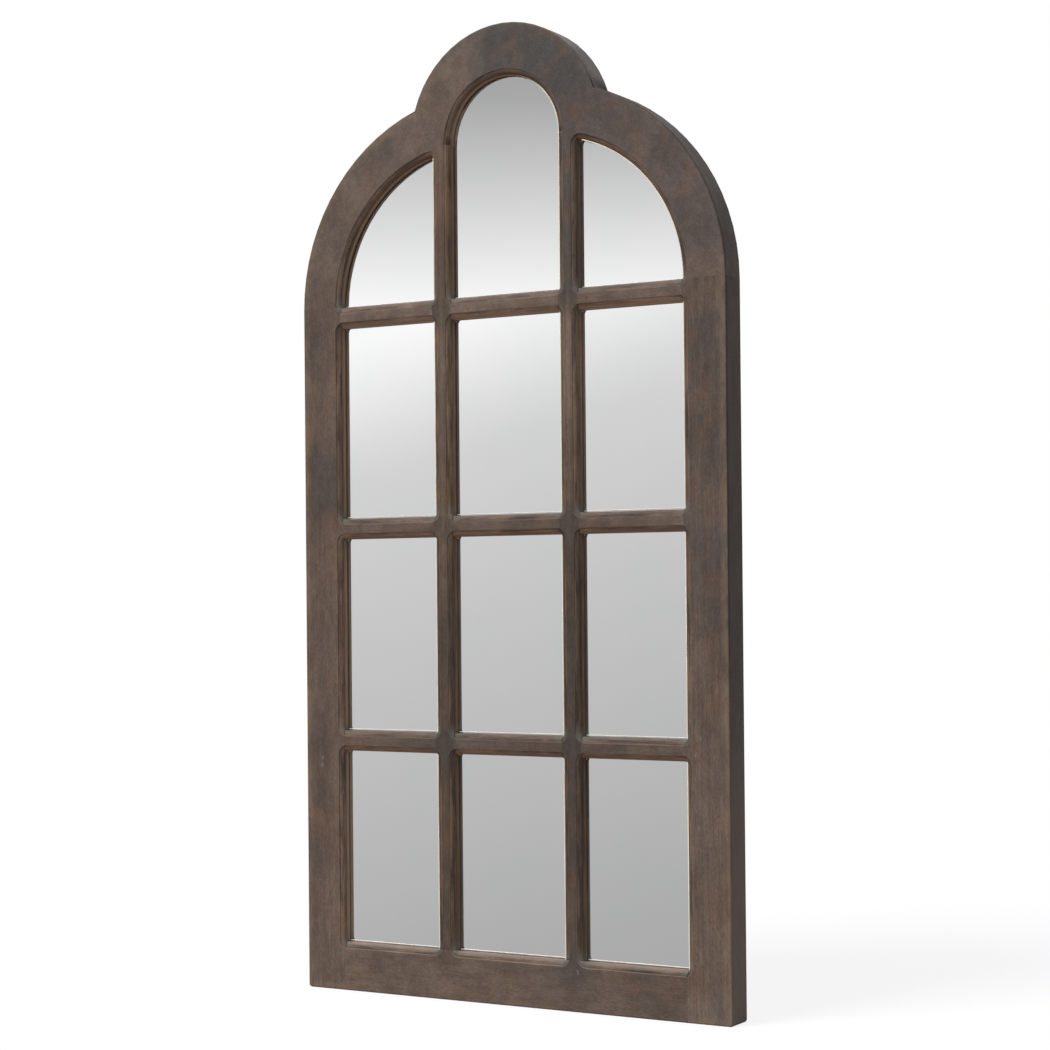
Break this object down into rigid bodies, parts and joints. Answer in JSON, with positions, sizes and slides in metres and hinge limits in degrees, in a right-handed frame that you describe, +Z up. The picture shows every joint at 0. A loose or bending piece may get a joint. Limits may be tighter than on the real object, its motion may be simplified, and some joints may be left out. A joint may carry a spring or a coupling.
{
  "type": "window pane arch mirror",
  "caption": "Tall wall mirror in a dark stained wood frame with a raised round crown, split into small panes by moulded glazing bars; hangs from two rings on its back.",
  "frame": {"origin": "middle of the frame's flat foot, half way through its depth", "axes": "+Z up the mirror, +X to the right seen from the front, -Y out of the mirrored face, +Y into the wall"},
  "size_m": [0.61, 0.0463, 1.22],
  "materials": {
    "frame_wood": "dark brown-grey stain, rubbed, satin",
    "bar_wood": "dark brown-grey stain, rubbed, satin",
    "mirror_glass": "silvered float glass",
    "back_board": "plain hardboard",
    "dowel_wood": "plain beech",
    "steel": "zinc plated",
    "bumper_rubber": "matt"
  },
  "bodies": {
    "frame": {"left_stile": "frame_wood", "left_haunch": "frame_wood", "right_stile": "frame_wood", "right_haunch": "frame_wood", "foot_rail": "frame_wood", "crown": "frame_wood", "left_mullion": "bar_wood", "right_mullion": "bar_wood", "bottom_bar_left": "bar_wood", "bottom_bar_middle": "bar_wood", "bottom_bar_right": "bar_wood", "middle_bar_left": "bar_wood", "middle_bar_middle": "bar_wood", "middle_bar_right": "bar_wood", "top_bar_left": "bar_wood", "top_bar_middle": "bar_wood", "top_bar_right": "bar_wood", "bottom_left_mirror": "mirror_glass", "bottom_middle_mirror": "mirror_glass", "bottom_right_mirror": "mirror_glass", "lower_left_mirror": "mirror_glass", "lower_middle_mirror": "mirror_glass", "lower_right_mirror": "mirror_glass", "upper_left_mirror": "mirror_glass", "upper_middle_mirror": "mirror_glass", "upper_right_mirror": "mirror_glass", "top_left_mirror": "mirror_glass", "top_middle_mirror": "mirror_glass", "top_right_mirror": "mirror_glass", "back_panel": "back_board", "left_panel_screw_1": "steel", "left_panel_screw_2": "steel", "left_panel_screw_3": "steel", "left_foot_panel_screw": "steel", "left_haunch_panel_screw": "steel", "left_haunch_dowel_1": "dowel_wood", "left_crown_dowel_1": "dowel_wood", "left_hanger_screw_1": "steel", "left_haunch_dowel_2": "dowel_wood", "left_crown_dowel_2": "dowel_wood", "left_hanger_screw_2": "steel", "left_hanger_strap": "steel", "left_wall_bumper": "bumper_rubber", "right_panel_screw_1": "steel", "right_panel_screw_2": "steel", "right_panel_screw_3": "steel", "right_foot_panel_screw": "steel", "right_haunch_panel_screw": "steel", "right_haunch_dowel_1": "dowel_wood", "right_crown_dowel_1": "dowel_wood", "right_hanger_screw_1": "steel", "right_haunch_dowel_2": "dowel_wood", "right_crown_dowel_2": "dowel_wood", "right_hanger_screw_2": "steel", "right_hanger_strap": "steel", "right_wall_bumper": "bumper_rubber"},
    "left_ring": {"left_hanger_ring": "steel"},
    "right_ring": {"right_hanger_ring": "steel"}
  },
  "joints": [
    {"name": "left_ring_swing", "type": "hinge", "parent": "frame", "child": "left_ring", "pos_m": [-0.285, 0.02335, 0.84], "axis": [1, 0, 0], "range_deg": [0, 180]},
    {"name": "right_ring_swing", "type": "hinge", "parent": "frame", "child": "right_ring", "pos_m": [0.285, 0.02335, 0.84], "axis": [1, 0, 0], "range_deg": [0, 180]}
  ]
}
